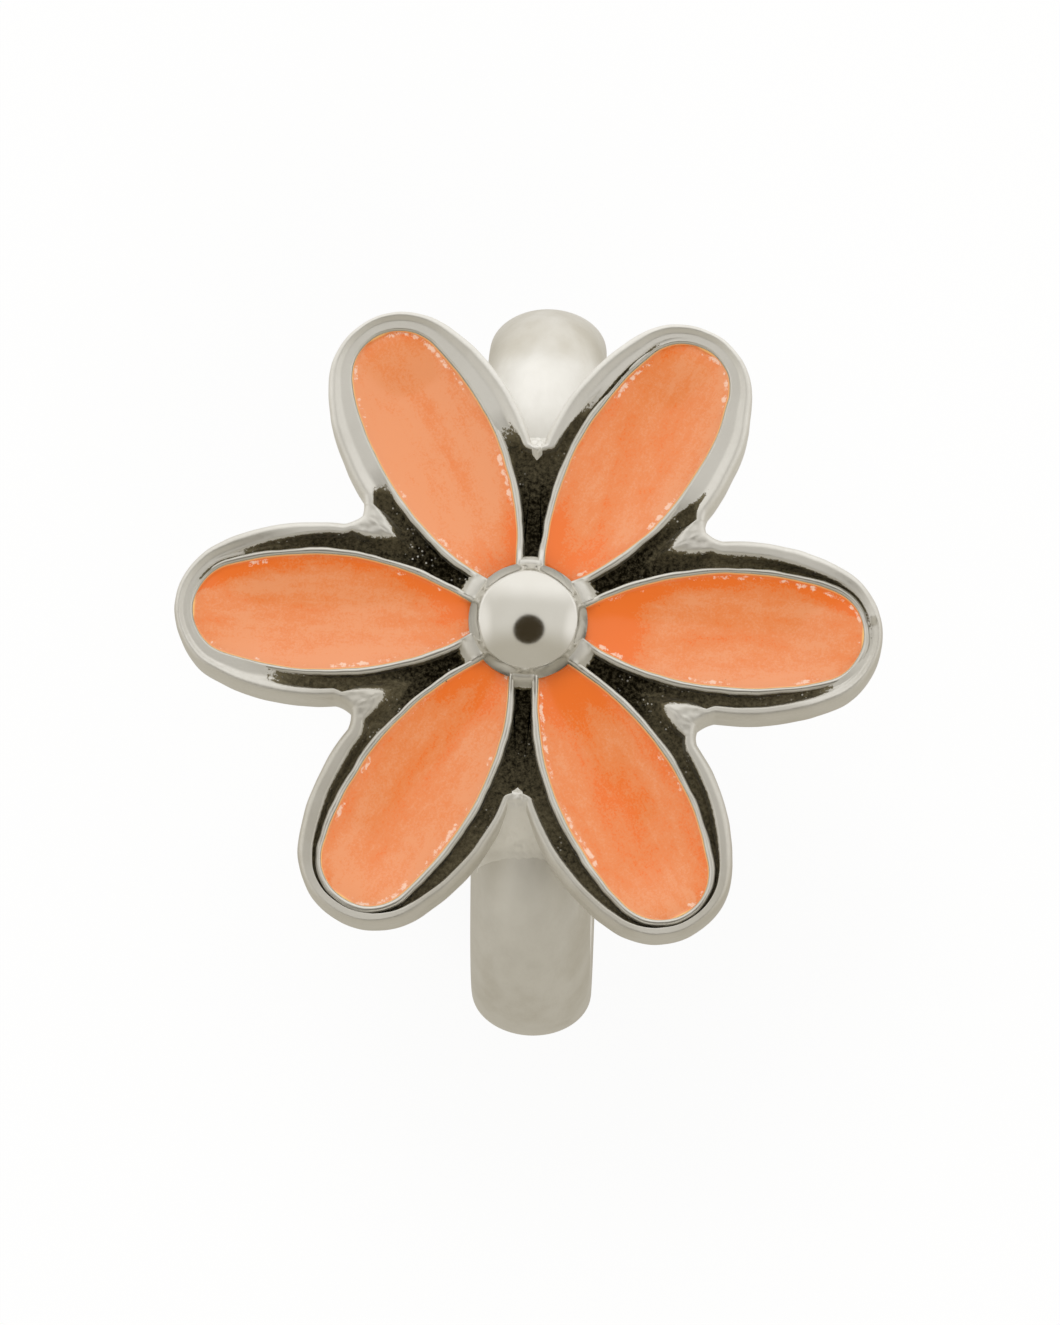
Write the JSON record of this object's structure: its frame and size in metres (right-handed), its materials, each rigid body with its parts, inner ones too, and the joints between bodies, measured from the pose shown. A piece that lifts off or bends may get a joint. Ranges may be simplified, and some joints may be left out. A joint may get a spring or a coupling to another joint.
{
  "type": "flower strap slide",
  "caption": "Small enamelled flower slide: dished enamel petals in walled cells on a rimmed plate, a polished centre dome, and a closed half-round loop behind for a flat strap.",
  "frame": {"origin": "the point under the flower's centre on the lowest line of the loop's crown", "axes": "+Z out of the flower's face, +Y along the length of the loop, X the way the strap runs"},
  "size_m": [0.011, 0.012, 0.0066],
  "materials": {
    "polished_silver": "polished silver, blackened in the channels",
    "coral_enamel": "glossy translucent enamel",
    "solder": "dull silver solder"
  },
  "bodies": {
    "root": {"flower_plate": "polished_silver", "strap_loop": "polished_silver", "centre_dome": "polished_silver", "cell_wall_1": "polished_silver", "cell_wall_2": "polished_silver", "cell_wall_3": "polished_silver", "cell_wall_4": "polished_silver", "cell_wall_5": "polished_silver", "cell_wall_6": "polished_silver", "enamel_petal_1": "coral_enamel", "enamel_petal_2": "coral_enamel", "enamel_petal_3": "coral_enamel", "enamel_petal_4": "coral_enamel", "enamel_petal_5": "coral_enamel", "enamel_petal_6": "coral_enamel", "solder_seam_right": "solder", "solder_seam_left": "solder"}
  },
  "joints": []
}
